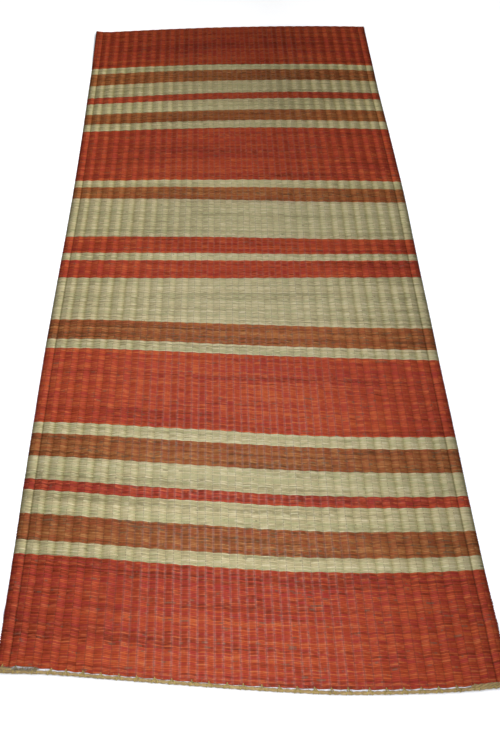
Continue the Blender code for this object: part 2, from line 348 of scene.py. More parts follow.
@dataclass
class Weave:
    """The whole woven surface: each stem's ridge, with a groove on either side.

    Rows run from the near end: grooves at even rows and ridges at odd ones. arches_mm says
    how far the stems on the ribs bow ahead (mm) at places along the mat, and end_mm how far
    the near edge is shifted (mm) at places across it.
    """

    lie: MatLie = field(default_factory=MatLie)
    ribs: RibPlan = field(default_factory=RibPlan)
    plan: StripePlan = field(default_factory=StripePlan)
    stem_pitch: float = 0.0028
    stem_widths: Range = (0.72, 1.28)
    groove_depth: float = 0.0007
    groove_spread: Range = (0.8, 0.4)
    full_body: float = 0.0020
    least_groove: float = 0.35
    beat_height: float = 0.00042
    swell: float = 0.00013
    swell_knots: int = 58
    wander: float = 0.0007
    wander_knots: int = 8
    wander_step: float = 0.07
    waver: float = 0.00022
    waver_knots: int = 16
    ridge_waver: float = 0.4
    loop_mm: tuple[float, float, float] = (-1.3, -0.3, 0.5)
    loop_wander: float = 0.0002
    rim_ridge: float = 0.0009
    rim_groove: float = 0.00035
    least_height: float = 0.0002
    far_rise: float = 0.10
    rise_from: float = -0.4
    rise_over: float = 1.0
    far_flat: float = 0.024
    far_level: float = 0.0030
    arches_mm: tuple[tuple[float, float], ...] = (
        (-1.0, 1.4), (-0.5, 0.2), (0.0, -1.0), (0.5, -1.9), (1.0, -2.5),
    )
    arch_share: Range = (0.55, 0.45)
    arch_from: float = 0.05
    arch_over: float = 0.25
    end_flat: float = 0.017
    end_hold: float = 0.6
    end_level: float = 0.0026
    right_ease: float = 0.0014
    right_from: float = 0.40
    right_over: float = 0.05
    end_height: float = 0.0006
    end_reach: float = 0.028
    end_fade: float = 1.5
    end_mm: tuple[tuple[float, float], ...] = (
        (-0.450, -4.0), (-0.430, -4.2), (-0.420, 0.0), (-0.408, 2.2), (-0.385, 1.6),
        (-0.350, 0.6), (-0.320, 0.0), (0.450, 0.0),
    )
    seed: int = 4172
    buckles: tuple[Buckle, ...] = (
        Buckle(-0.47, -0.24, -0.914, 0.0028, 0.011),
        Buckle(-0.47, -0.33, -0.882, 0.0010, 0.007),
        Buckle(-0.47, 0.45, -0.985, 0.0011, 0.007),
        Buckle(0.24, 0.47, -0.906, 0.0018, 0.009),
        Buckle(0.30, 0.47, -0.867, 0.0014, 0.006),
        Buckle(-0.47, -0.10, -0.822, 0.0010, 0.007),
    )

    def __post_init__(self) -> None:
        """Lay out the stems and work out the surface."""
        self.rng = np.random.default_rng(self.seed)
        self.columns = self.ribs.columns()
        self.lay_stems()
        self.lay_surface()

    def lay_stems(self) -> None:
        """Set each stem's width, stripe by stripe, from the near end."""
        self.first_stem: list[int] = []
        grooves = [self.lie.near]
        total = sum(stripe.width_mm for stripe in self.plan.stripes) * MM
        scale = (self.lie.far - self.lie.near) / total
        for stripe in self.plan.near_first():
            width = stripe.width_mm * MM * scale
            count = round(width / self.stem_pitch)
            shares = self.rng.uniform(*self.stem_widths, count)
            self.first_stem.append(len(grooves) - 1)
            start = grooves[-1]
            grooves.extend(start + width * np.cumsum(shares) / shares.sum())
        self.stems = len(grooves) - 1
        self.first_stem.append(self.stems)
        self.grooves = np.array(grooves)

    def rippled(self, rows: int, knots: int, size: float) -> np.ndarray:
        """Smooth random wander of each row from side to side.

        Args:
            rows: Number of rows.
            knots: Number of random values across.
            size: Typical height of the wander.

        Returns:
            One value for each row and column.
        """
        values = self.rng.normal(0.0, size, (rows, knots)).clip(-2.2 * size, 2.2 * size)
        place = (self.columns.across / self.lie.width + 0.5) * (knots - 1)
        low = np.clip(place.astype(int), 0, knots - 2)
        share = place - low
        share = share * share * (3 - 2 * share)
        return values[:, low] * (1 - share) + values[:, low + 1] * share

    def lay_surface(self) -> None:
        """Work out the place and height of every point of the weave."""
        col = self.columns
        rows = 2 * self.stems + 1
        along = np.empty(rows)
        along[0::2] = self.grooves
        along[1::2] = (self.grooves[:-1] + self.grooves[1:]) / 2
        ridge = np.arange(rows) % 2 == 1
        jitter = self.rippled(rows, self.waver_knots, self.waver)
        jitter[ridge] *= self.ridge_waver
        jitter[ridge] += (jitter[0:-1:2] + jitter[2::2]) / 2
        slow_rows = max(4, round((self.lie.far - self.lie.near) / self.wander_step))
        slow = self.rippled(slow_rows, self.wander_knots, self.wander)
        at = np.linspace(0, slow_rows - 1, rows)
        low = np.clip(at.astype(int), 0, slow_rows - 2)
        share = at - low
        share = (share * share * (3 - 2 * share))[:, None]
        wander = slow[low] * (1 - share) + slow[low + 1] * share
        ends = np.minimum(1.0, np.minimum(at, slow_rows - 1 - at) / 0.5)[:, None]
        arch = self.arched(col.crest[None, :], col.across[None, :], along[:, None])
        table = np.array(self.end_mm)
        uneven = MM * smooth_between(table[:, 0], table[:, 1], col.across)
        fade = np.clip(1 - (along - self.lie.near) / self.end_reach, 0, 1) ** self.end_fade
        nominal_y = (along[:, None] + (jitter + wander) * ends + arch
                     + fade[:, None] * uneven[None, :])
        nominal_x = np.broadcast_to(col.across, nominal_y.shape).copy()
        nominal_x += self.edge_bulges(rows)
        nominal_x += self.right_ease * np.clip((col.across - self.right_from)
                                               / self.right_over, 0, 1)
        x, y = self.lie.place(nominal_x.ravel(), nominal_y.ravel())
        self.x, self.y = x.reshape(nominal_y.shape), y.reshape(nominal_y.shape)
        self.along = along
        self.z = self.heights(rows, ridge) + self.lift(nominal_x, nominal_y)
        self.ridge = ridge

    def arched(self, crest: np.ndarray, across: np.ndarray,
               along: np.ndarray) -> np.ndarray:
        """How far the stems on a rib bow ahead of those in the valleys.

        Args:
            crest: 0 in a valley and 1 on a rib.
            across: Nominal places across the mat.
            along: Nominal places along it.

        Returns:
            The shift along the mat, fading out at the far end.
        """
        table = np.array(self.arches_mm)
        bow = MM * smooth_between(table[:, 0], table[:, 1], along)
        middle, more = self.arch_share
        sides = middle + more * np.clip((np.abs(across) - self.arch_from)
                                        / self.arch_over, 0, 1)
        fade = np.clip((self.lie.far - along) / self.far_flat, 0, 1)
        return np.where(bow > 0, bow * sides, bow) * fade * (crest - 0.5)

    def edge_bulges(self, rows: int) -> np.ndarray:
        """How far each row stands in or out at the selvedges, where stems turn back.

        Args:
            rows: Number of rows.

        Returns:
            One shift for each row and column.
        """
        out = np.zeros((rows, len(self.columns.across)))
        row = np.arange(rows)
        inward, half_in, outward = (size * MM for size in self.loop_mm)
        loop = np.where(row % 4 == 0, inward, np.where(row % 4 == 2, half_in, outward))
        loop = loop + self.rng.normal(0.0, self.loop_wander, rows)
        for edge, inner, sign in ((0, 1, -1), (-1, -2, 1)):
            out[:, edge] = sign * loop
            out[:, inner] = sign * loop * 0.5
        return out

    def base_height(self, height: np.ndarray, along: np.ndarray) -> np.ndarray:
        """The ribs' height along the mat, pressed level at both ends.

        Args:
            height: Height across the ribs, as the columns give it.
            along: Nominal places along the mat.

        Returns:
            The height of the woven surface before its stems are laid in.
        """
        rise = 1 + self.far_rise * np.clip((along - self.rise_from) / self.rise_over, 0, 1)
        base = self.ribs.valley + (height - self.ribs.valley) * rise
        far = np.clip((self.lie.far - along) / self.far_flat, 0, 1)
        base = self.far_level + (base - self.far_level) * far * far * (3 - 2 * far)
        flat = np.clip((along - self.lie.near) / self.end_flat - self.end_hold, 0, 1)
        return self.end_level + (base - self.end_level) * flat * flat * (3 - 2 * flat)

    def heights(self, rows: int, ridge: np.ndarray) -> np.ndarray:
        """Height of each point over the floor where the mat lies down.

        Args:
            rows: Number of rows.
            ridge: True for the rows on top of a stem.

        Returns:
            One height for each row and column.
        """
        col = self.columns
        base = self.base_height(col.height[None, :], self.along[:, None])
        self.base = base
        stem = np.arange(rows) // 2
        sign = np.where(stem % 2 == 0, 1.0, -1.0)
        swell = self.rippled(rows, self.swell_knots, self.swell)
        undulation = self.beat_height * sign[:, None] * col.beat[None, :]
        least, more = self.groove_spread
        depth = self.groove_depth * (least + more * self.rng.random(rows))
        thin = np.clip(base / self.full_body, self.least_groove, 1.0)
        height = base + np.where(ridge[:, None], undulation + swell,
                                 -depth[:, None] * thin)
        height[0], height[-1] = self.end_height, self.end_height
        for edge in (0, -1):
            height[:, edge] = np.where(ridge, self.rim_ridge, self.rim_groove)
        return np.maximum(height, self.least_height)

    def lift(self, across: np.ndarray, along: np.ndarray) -> np.ndarray:
        """Height by which the mat stands off the floor at nominal places.

        Args:
            across: Nominal places across the mat.
            along: Nominal places along it.

        Returns:
            The height at each place.
        """
        x, y = self.lie.place(across.ravel(), along.ravel())
        lifted = self.lie.curl(x, y).reshape(across.shape)
        for buckle in self.buckles:
            lifted = lifted + buckle.height(across, along)
        return lifted


# Mesh helpers


def new_piece(name: str, mesh: bpy.types.Mesh, material: bpy.types.Material) -> bpy.types.Object:
    """Put a mesh in the scene as a piece of the mat that rides on its body.

    Args:
        name: Name of the piece.
        mesh: Its finished mesh.
        material: Its finish.

    Returns:
        The new object.
    """
    mesh.materials.clear()
    mesh.materials.append(material)
    piece = bpy.data.objects.new(name, mesh)
    bpy.context.scene.collection.objects.link(piece)
    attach(piece, BODY)
    return piece


def to_mesh(name: str, builder: bmesh.types.BMesh) -> bpy.types.Mesh:
    """Turn a bmesh into a smooth-shaded mesh and free it.

    Args:
        name: Name of the mesh.
        builder: The bmesh.

    Returns:
        The new mesh.
    """
    mesh = bpy.data.meshes.new(name)
    for face in builder.faces:
        face.smooth = True
    builder.to_mesh(mesh)
    builder.free()
    return mesh


def read_points(mesh: bpy.types.Mesh) -> np.ndarray:
    """The mesh's points as rows of x, y and z.

    Args:
        mesh: The mesh.

    Returns:
        The rows.
    """
    flat = np.empty(len(mesh.vertices) * 3, np.float32)
    mesh.vertices.foreach_get("co", flat)
    return flat.reshape(-1, 3).astype(float)


def write_points(mesh: bpy.types.Mesh, points: np.ndarray) -> None:
    """Move the mesh's points."""
    mesh.vertices.foreach_set("co", points.astype(np.float32).ravel())
    mesh.update()


def write_attribute(mesh: bpy.types.Mesh, name: str, values: np.ndarray) -> None:
    """Keep three numbers for each point under a name that a material reads."""
    layer = mesh.attributes.new(name, "FLOAT_VECTOR", "POINT")
    layer.data.foreach_set("vector", values.astype(np.float32).ravel())


def face_outwards(mesh: bpy.types.Mesh) -> None:
    """Point the faces of a closed mesh outwards.

    Args:
        mesh: The mesh.
    """
    builder = bmesh.new()
    builder.from_mesh(mesh)
    bmesh.ops.recalc_face_normals(builder, faces=builder.faces[:])
    builder.to_mesh(mesh)
    builder.free()


def slab(name: str, columns: int, rows: int) -> bpy.types.Mesh:
    """A closed slab with a full grid on top and one row of faces below.

    Its points are marked by column and row in x and y, and by z: 0 on top, -1 below.

    Args:
        name: Name of the mesh.
        columns: Points across.
        rows: Points along.

    Returns:
        The marked mesh.
    """
    builder = bmesh.new()
    bmesh.ops.create_grid(builder, x_segments=columns - 1, y_segments=rows - 1, size=1.0)
    rim = [edge for edge in builder.edges if edge.is_boundary]
    for edge in rim:
        edge.smooth = False
    wall = bmesh.ops.extrude_edge_only(builder, edges=rim)
    lower = [item for item in wall["geom"] if isinstance(item, bmesh.types.BMVert)]
    bmesh.ops.translate(builder, verts=lower, vec=(0, 0, -1))
    spare = [v for v in lower if abs(v.co.x) > 0.9999 and abs(v.co.y) < 0.9999]
    bmesh.ops.dissolve_verts(builder, verts=spare)
    ends = [edge for edge in builder.edges if edge.is_boundary
            and abs(edge.verts[0].co.y - edge.verts[1].co.y) < 0.5]
    bmesh.ops.bridge_loops(builder, edges=ends)
    bmesh.ops.recalc_face_normals(builder, faces=builder.faces[:])
    return to_mesh(name, builder)


def marks(points: np.ndarray, columns: int, rows: int) -> tuple[np.ndarray, np.ndarray]:
    """Column and row of each marked point.

    Args:
        points: The marked points of a slab.
        columns: Its points across.
        rows: Its points along.

    Returns:
        The columns and the rows.
    """
    column = np.rint((points[:, 0] + 1) / 2 * (columns - 1)).astype(int)
    row = np.rint((points[:, 1] + 1) / 2 * (rows - 1)).astype(int)
    return column, row


def sweep(name: str, paths: list[np.ndarray], radii: list[np.ndarray],
          sides: int) -> bpy.types.Mesh:
    """Round tubes along lines of points, capped at both ends, as one mesh.

    The attribute "run" keeps the distance along, the place round (0 to 1) and the number
    of the tube.

    Args:
        name: Name of the mesh.
        paths: Each tube's points, as rows of x, y and z.
        radii: Each tube's radius at its points.
        sides: Faces round each tube.

    Returns:
        The finished mesh.
    """
    builder = bmesh.new()
    for number, path in enumerate(paths):
        made = bmesh.ops.create_cone(builder, cap_ends=True, segments=sides, radius1=1.0,
                                     radius2=1.0, depth=1.0)
        bmesh.ops.translate(builder, verts=made["verts"], vec=(4.0 * number, 0, 0))
    for rings in sorted({len(path) for path in paths}):
        walls = [edge for edge in builder.edges
                 if abs(edge.verts[0].co.z - edge.verts[1].co.z) > 0.999
                 and len(paths[round(edge.verts[0].co.x / 4.0)]) == rings]
        bmesh.ops.subdivide_edges(builder, edges=walls, cuts=rings - 2, use_grid_fill=True)
    mesh = to_mesh(name, builder)
    marked = read_points(mesh)
    tube = np.rint(marked[:, 0] / 4.0).astype(int)
    angle = np.arctan2(marked[:, 1], marked[:, 0] - 4.0 * tube)
    points, run = np.empty_like(marked), np.empty_like(marked)
    for number, (path, radius) in enumerate(zip(paths, radii)):
        mine = tube == number
        ring = np.rint((marked[mine, 2] + 0.5) * (len(path) - 1)).astype(int)
        ahead = np.gradient(path, axis=0)
        ahead /= np.linalg.norm(ahead, axis=1)[:, None]
        level = np.cross(ahead, (0.0, 0.0, 1.0))
        flat = np.linalg.norm(level, axis=1) < 1e-3
        level[flat] = np.cross(ahead[flat], (0.0, 1.0, 0.0))
        level /= np.linalg.norm(level, axis=1)[:, None]
        upward = np.cross(level, ahead)
        turn = angle[mine]
        points[mine] = path[ring] + radius[ring][:, None] * (
            level[ring] * np.cos(turn)[:, None] + upward[ring] * np.sin(turn)[:, None])
        length = np.concatenate([[0.0], np.cumsum(np.linalg.norm(np.diff(path, axis=0),
                                                                 axis=1))])
        run[mine] = np.column_stack([length[ring], turn / (2 * math.pi) + 0.5,
                                     np.full(mine.sum(), float(number))])
    write_points(mesh, points)
    write_attribute(mesh, "run", run)
    face_outwards(mesh)
    return mesh


# Finishes


class NodeBoard:
    """Lays out the shader nodes of one material and joins them."""

    def __init__(self, name: str) -> None:
        """Start a material with one Principled shader.

        Args:
            name: Name of the material.
        """
        self.material = bpy.data.materials.new(name)
        self.material.use_nodes = True
        self.tree = self.material.node_tree
        self.shader = self.tree.nodes["Principled BSDF"]

    def node(self, kind: str, **settings: object) -> bpy.types.Node:
        """Add a node and set its options.

        Args:
            kind: Type of the node.
            settings: Its options by name.

        Returns:
            The node.
        """
        made = self.tree.nodes.new(kind)
        for key, value in settings.items():
            setattr(made, key, value)
        return made

    def feed(self, socket: bpy.types.NodeSocket, value: object) -> None:
        """Join a socket to another one, or set its value.

        Args:
            socket: The socket to feed.
            value: Another socket, a number or a colour.
        """
        if isinstance(value, bpy.types.NodeSocket):
            self.tree.links.new(value, socket)
        elif isinstance(value, tuple) and len(value) == 3 and socket.type == "RGBA":
            socket.default_value = (*value, 1.0)
        else:
            socket.default_value = value

    def attribute(self, name: str) -> list[bpy.types.NodeSocket]:
        """The three numbers of a point attribute.

        Args:
            name: Name of the attribute.

        Returns:
            One socket for each number.
        """
        source = self.node("ShaderNodeAttribute", attribute_name=name)
        parts = self.node("ShaderNodeSeparateXYZ")
        self.feed(parts.inputs[0], source.outputs["Vector"])
        return list(parts.outputs)

    def join(self, x: object, y: object, z: object = 0.0) -> bpy.types.NodeSocket:
        """A vector from three numbers.

        Args:
            x: First number.
            y: Second number.
            z: Third number.

        Returns:
            The vector.
        """
        made = self.node("ShaderNodeCombineXYZ")
        for socket, value in zip(made.inputs, (x, y, z)):
            self.feed(socket, value)
        return made.outputs[0]

    def math(self, operation: str, a: object, b: object = 0.0,
             clamp: bool = False) -> bpy.types.NodeSocket:
        """The result of one sum on one or two numbers.

        Args:
            operation: The sum, as the node names it.
            a: First number.
            b: Second number.
            clamp: Whether to keep the result from 0 to 1.

        Returns:
            The result.
        """
        made = self.node("ShaderNodeMath", operation=operation, use_clamp=clamp)
        self.feed(made.inputs[0], a)
        self.feed(made.inputs[1], b)
        return made.outputs[0]

    def ease(self, value: object, low: float, high: float, to_low: float = 0.0,
             to_high: float = 1.0) -> bpy.types.NodeSocket:
        """Value moved smoothly from one range to another and held at its ends.

        Args:
            value: The value.
            low: Where the first range starts.
            high: Where it ends.
            to_low: Where the second range starts.
            to_high: Where it ends.

        Returns:
            The moved value.
        """
        made = self.node("ShaderNodeMapRange", interpolation_type="SMOOTHSTEP")
        for socket, number in zip(made.inputs, (value, low, high, to_low, to_high)):
            self.feed(socket, number)
        return made.outputs[0]

    def chance(self, value: object) -> list[bpy.types.NodeSocket]:
        """Three random numbers for each whole number.

        Args:
            value: The whole number.

        Returns:
            One socket for each random number.
        """
        made = self.node("ShaderNodeTexWhiteNoise", noise_dimensions="1D")
        self.feed(made.inputs["W"], value)
        parts = self.node("ShaderNodeSeparateColor")
        self.feed(parts.inputs[0], made.outputs["Color"])
        return list(parts.outputs)

    def noise(self, vector: object, scale: float = 1.0, detail: float = 2.0,
              roughness: float = 0.5) -> bpy.types.NodeSocket:
        """Cloudy noise from 0 to 1.

        Args:
            vector: Where to read it.
            scale: Clouds for each unit.
            detail: Number of finer layers.
            roughness: Share of the finer layers.

        Returns:
            The noise.
        """
        made = self.node("ShaderNodeTexNoise", noise_dimensions="3D")
        self.feed(made.inputs["Vector"], vector)
        self.feed(made.inputs["Scale"], scale)
        self.feed(made.inputs["Detail"], detail)
        self.feed(made.inputs["Roughness"], roughness)
        return made.outputs["Fac"]

    def mix(self, share: object, a: object, b: object,
            blend: str = "MIX") -> bpy.types.NodeSocket:
        """Two colours mixed by a share.

        Args:
            share: Share of the second colour.
            a: First colour.
            b: Second colour.
            blend: How they are mixed, as the node names it.

        Returns:
            The colour.
        """
        made = self.node("ShaderNodeMix", data_type="RGBA", blend_type=blend)
        self.feed(made.inputs["Factor"], share)
        sockets = [s for s in made.inputs if s.type == "RGBA"]
        self.feed(sockets[0], a)
        self.feed(sockets[1], b)
        return [s for s in made.outputs if s.type == "RGBA"][0]

    def ramp(self, value: object, stops: tuple[tuple[float, Colour], ...]
             ) -> bpy.types.NodeSocket:
        """A colour read off a ramp.

        Args:
            value: Place on the ramp.
            stops: Its places and colours.

        Returns:
            The colour.
        """
        made = self.node("ShaderNodeValToRGB")
        self.feed(made.inputs[0], value)
        elements = made.color_ramp.elements
        while len(elements) < len(stops):
            elements.new(0.5)
        for element, (place, colour) in zip(elements, stops):
            element.position = place
            element.color = (*colour, 1.0)
        return made.outputs["Color"]

    def relief(self, height: object, distance: float, strength: float = 1.0) -> None:
        """Give the shader's surface a fine relief.

        Args:
            height: Height of the relief.
            distance: Metres for each unit of height.
            strength: Share by which it shows.
        """
        made = self.node("ShaderNodeBump")
        self.feed(made.inputs["Height"], height)
        self.feed(made.inputs["Distance"], distance)
        self.feed(made.inputs["Strength"], strength)
        self.feed(self.shader.inputs["Normal"], made.outputs["Normal"])


@dataclass(frozen=True)
class Cloud:
    """Cloudy noise on the weave: clouds for each metre across and each stem along."""

    across: float
    along: float
    seed: float
    detail: float = 3.0
    roughness: float = 0.5

    def read(self, board: NodeBoard, across: object, along: object) -> bpy.types.NodeSocket:
        """The noise at a place on the weave.

        Args:
            board: The material's nodes.
            across: Place across the mat.
            along: Place along it, counted in stems.

        Returns:
            The noise, from 0 to 1.
        """
        place = board.join(board.math("MULTIPLY", across, self.across),
                           board.math("MULTIPLY", along, self.along), self.seed)
        return board.noise(place, detail=self.detail, roughness=self.roughness)


def grain(scale: float, seed: float) -> Cloud:
    """Noise that runs along each stem by itself, at a scale per metre."""
    return Cloud(scale, 3.71, seed, roughness=0.6)


@dataclass(frozen=True)
class SedgeFinish:
    """Dyed sedge: stems that differ in tone, streaked along their length and flecked. Its colour
    also holds painted shade between stems, where stems pass the warps, along the selvedges and
    in the valleys, and a pale colour by the warps near the middle that is partly real and partly
    a painted sheen.

    A range gives where an effect starts and where it is full: noise from 0 to 1, distance
    to the nearest warp in pitches, or metres from the mat's middle line.
    """

    name: str
    dark: Colour
    body: Colour
    bright: Colour
    cool: Colour
    streak: Colour
    fleck: Colour
    worn_sheen: Colour
    valley_shade: Colour = (0.92, 0.86, 0.80)
    spread: float = 1.0
    stem_weight: float = 0.36
    hump_weight: float = 0.22
    hump_step: float = 37.31
    streaked: float = 0.10
    streak_range: Range = (0.80, 1.02)
    streak_share: float = 0.45
    flecked: float = 0.10
    fleck_range: Range = (0.80, 0.87)
    fleck_share: float = 0.65
    cool_range: Range = (0.66, 0.98)
    cool_share: float = 0.75
    tone_stops: tuple[float, float, float] = (0.12, 0.50, 0.88)
    streaks: Cloud = grain(38.0, 8.3)
    hues: Cloud = grain(14.0, 5.1)
    flecks: Cloud = grain(62.0, 2.7)
    segments: Cloud = grain(11.0, 9.9)
    bodies: Cloud = grain(9.0, 1.7)
    rubbed_sheen: Cloud = grain(7.0, 12.4)
    polish: Cloud = grain(12.0, 3.3)
    patches: Cloud = Cloud(3.0, 0.12, 4.1, detail=2.0)
    bands: Cloud = Cloud(1.7, 0.035, 7.7, detail=1.0)
    fibres: Cloud = Cloud(80.0, 3.5, 1.2)
    rough_fibres: Cloud = Cloud(60.0, 5.0, 2.9)
    raised_lines: Cloud = Cloud(25.0, 9.0, 6.6, detail=2.0)
    roughness: float = 0.50
    rough_spread: Range = (-0.08, 0.10)
    gloss: float = 0.02
    coat: float = 0.24
    coat_roughness: float = 0.30
    groove: float = 0.52
    groove_shade_range: Range = (0.28, 0.50)
    notch_shade: float = 0.82
    notch_shade_range: Range = (0.02, 0.11)
    valley_shade_crests: Range = (0.0, 0.50)
    valley_shade_sides: Range = (0.05, 0.30)
    valley_shade_middle: float = 0.30
    line_relief: float = 0.00015
    rib_relief: float = 0.0006
    far_relief: float = 0.0014
    relief_rows: Range = (200.0, 700.0)
    warp_pitch: float = 0.8 / 52
    outer_start: float = 0.400
    outer_pitch: float = 0.013
    polish_and_sheen: Range = (0.16, 0.33)
    least_polish: float = 0.02
    polish_gap: Range = (0.02, 0.32)
    polish_range: Range = (0.30, 0.70)
    wear_sheen_gap: Range = (0.04, 0.22)
    wear_sheen_range: Range = (0.36, 0.70)
    wear_sheen_share: Range = (0.05, 0.42)
    rim: Range = (0.4405, 0.4480)
    rim_shade: float = 0.74
    fold_place: float = 0.4266
    fold_reach: Range = (0.0004, 0.0026)
    fold_shade: float = 0.66

    def material(self, shade: float = 1.0) -> bpy.types.Material:
        """Build the finish. It reads the weave attribute: across, stem and crest.

        Args:
            shade: Brightness of the dye in one stripe.

        Returns:
            The material.
        """
        board = NodeBoard(self.name)
        across, row, crest = board.attribute("weave")
        stem = board.math("FLOOR", row)
        one, two, three = board.chance(stem)
        gap, cell = self.warps(board, across)
        hump = board.math("ADD", board.math("MULTIPLY", cell, self.hump_step), stem)
        own, shift, _ = board.chance(hump)
        streaks = self.streaks.read(board, across, hump)
        colour = self.tone(board, across, row, stem, (one, own), streaks)
        hue = board.math("ADD", board.math("MULTIPLY", board.math("ADD", two, shift), 0.25),
                         self.hues.read(board, across, hump))
        colour = board.mix(board.ease(hue, *self.cool_range, 0.0, self.cool_share),
                           colour, self.cool)
        bright = board.math("ADD", streaks, board.math("MULTIPLY", three, 0.30))
        low, high = self.streak_range
        colour = board.mix(board.ease(bright, low - self.streaked, high - self.streaked,
                                      0.0, self.streak_share), colour, self.streak)
        flecks = self.flecks.read(board, across, stem)
        segments = self.segments.read(board, across, stem)
        dull = board.math("ADD", board.math("MULTIPLY", flecks, 0.75),
                          board.math("MULTIPLY", segments, 0.45))
        low, high = self.fleck_range
        colour = board.mix(board.ease(dull, low - self.flecked, high - self.flecked,
                                      0.0, self.fleck_share), colour, self.fleck)
        # A pale colour by the warps near the middle: partly real rubbing of the dye, partly a
        # painted sheen.
        colour = board.mix(self.wear_sheen(board, across, stem, gap), colour, self.worn_sheen)
        # Painted shade between stems, where stems pass the warps, along the selvedges and in the
        # valleys.
        colour = self.painted_shade(board, colour, (across, row, crest), gap, shade)
        board.feed(board.shader.inputs["Base Color"], colour)
        fibres = self.rough_fibres.read(board, across, row)
        low, high = self.rough_spread
        rough = board.ease(fibres, 0.25, 0.75, self.roughness + low, self.roughness + high)
        board.feed(board.shader.inputs["Roughness"], rough)
        board.shader.inputs["Specular IOR Level"].default_value = self.gloss
        board.feed(board.shader.inputs["Coat Weight"],
                   self.burnish(board, across, stem, gap))
        board.shader.inputs["Coat Roughness"].default_value = self.coat_roughness
        lines = self.raised_lines.read(board, across, row)
        wave = board.math("COSINE", board.math("MULTIPLY", self.half_ribs(board, across),
                                               math.pi))
        rib = board.math("MULTIPLY", wave, board.ease(row, *self.relief_rows,
                                                      -0.5 * self.rib_relief,
                                                      -0.5 * self.far_relief))
        board.relief(board.math("ADD", board.math("MULTIPLY", lines, self.line_relief), rib),
                     1.0)
        return board.material

    def tone(self, board: NodeBoard, across: object, row: object, stem: object,
             chances: tuple[object, object], streaks: object) -> bpy.types.NodeSocket:
        """Colour between dark and bright, by stem, along it and by patches.

        Args:
            board: The material's nodes.
            across: Place across the mat.
            row: Place along it, counted in stems.
            stem: Number of the stem.
            chances: A random number for each stem and one for each of its humps.
            streaks: Noise along the stems.

        Returns:
            The colour.
        """
        tone = board.math("MULTIPLY", board.math("SUBTRACT", chances[0], 0.5),
                          self.stem_weight * self.spread)
        for part, weight in ((self.bodies.read(board, across, stem), 0.5),
                             (chances[1], self.hump_weight), (streaks, 0.88),
                             (self.patches.read(board, across, row), 0.75),
                             (self.bands.read(board, across, row), 0.7),
                             (self.fibres.read(board, across, row), 0.5)):
            part = board.math("MULTIPLY", board.math("SUBTRACT", part, 0.5),
                              weight * self.spread)
            tone = board.math("ADD", tone, part)
        tone = board.math("ADD", tone, 0.5, clamp=True)
        return board.ramp(tone, tuple(zip(self.tone_stops,
                                          (self.dark, self.body, self.bright))))

    def half_ribs(self, board: NodeBoard, across: object) -> bpy.types.NodeSocket:
        """Place away from the middle of the mat, counted in half ribs.

        Args:
            board: The material's nodes.
            across: Place across the mat.

        Returns:
            The count.
        """
        away = board.math("ABSOLUTE", across)
        inner = board.math("MINIMUM", away, self.outer_start)
        outer = board.math("SUBTRACT", away, inner)
        return board.math("ADD", board.math("DIVIDE", inner, self.warp_pitch),
                          board.math("DIVIDE", outer, self.outer_pitch))

    def warps(self, board: NodeBoard,
              across: object) -> tuple[bpy.types.NodeSocket, bpy.types.NodeSocket]:
        """Distance to the nearest warp, in pitches, and the number of the hump beside it.

        Args:
            board: The material's nodes.
            across: Place across the mat.

        Returns:
            The distance and the number.
        """
        place = self.half_ribs(board, across)
        gap = board.math("ABSOLUTE", board.math("SUBTRACT", place,
                                                board.math("ROUND", place)))
        cell = board.math("FLOOR", board.math("MULTIPLY", place,
                                              board.math("SIGN", across)))
        return gap, cell

    def wear_sheen(self, board: NodeBoard, across: object, stem: object,
             gap: object) -> bpy.types.NodeSocket:
        """Share of a pale colour where stems bend over the warps, near the mat's middle only:
        partly real rubbing of the dye, partly a painted sheen.

        Args:
            board: The material's nodes.
            across: Place across the mat.
            stem: Number of the stem.
            gap: Distance to the nearest warp, in pitches.

        Returns:
            The share.
        """
        near = board.math("MULTIPLY", board.ease(gap, *self.wear_sheen_gap, 1.0, 0.0),
                          self.middle(board, across, 0.0))
        worn_sheen = self.rubbed_sheen.read(board, across, stem)
        return board.math("MULTIPLY", near,
                          board.ease(worn_sheen, *self.wear_sheen_range, *self.wear_sheen_share))

    def burnish(self, board: NodeBoard, across: object, stem: object,
                gap: object) -> bpy.types.NodeSocket:
        """Clear gloss of the stems, strongest where they are pressed over the warps.

        Args:
            board: The material's nodes.
            across: Place across the mat.
            stem: Number of the stem.
            gap: Distance to the nearest warp, in pitches.

        Returns:
            Weight of the shader's coat.
        """
        near = board.ease(gap, *self.polish_gap, 1.0, 0.0)
        worn_sheen = self.polish.read(board, across, stem)
        share = board.math("MULTIPLY", near, self.middle(board, across, self.least_polish))
        return board.math("MULTIPLY", share,
                          board.ease(worn_sheen, *self.polish_range, self.coat * 0.25, self.coat))

    def middle(self, board: NodeBoard, across: object, least: float) -> bpy.types.NodeSocket:
        """Share by which use has made a place glossy, and by which the painted sheen by the
        warps shows: 1 in the middle, least by the sides.
        """
        return board.ease(board.math("ABSOLUTE", across), *self.polish_and_sheen, 1.0, least)

    def painted_shade(self, board: NodeBoard, colour: object, weave: tuple[object, object, object],
                gap: object, shade: float) -> bpy.types.NodeSocket:
        """The colour with painted shade: between stems, where stems pass the warps, along the
        selvedge's outer edge and the crease inside its ridge, and in the valleys.

        Args:
            board: The material's nodes.
            colour: Colour of the stems.
            weave: Place across the mat, place along it in stems, and 1 on a rib or 0.
            gap: Distance to the nearest warp, in pitches.
            shade: Brightness of the dye in this stripe.

        Returns:
            The colour with its painted shade.
        """
        across, row, crest = weave
        # Painted shade in the grooves between stems.
        within = board.math("FRACT", row)
        edge = board.math("ABSOLUTE", board.math("SUBTRACT", within, 0.5))
        level = board.ease(edge, *self.groove_shade_range, shade, shade * self.groove)
        away = board.math("ABSOLUTE", across)
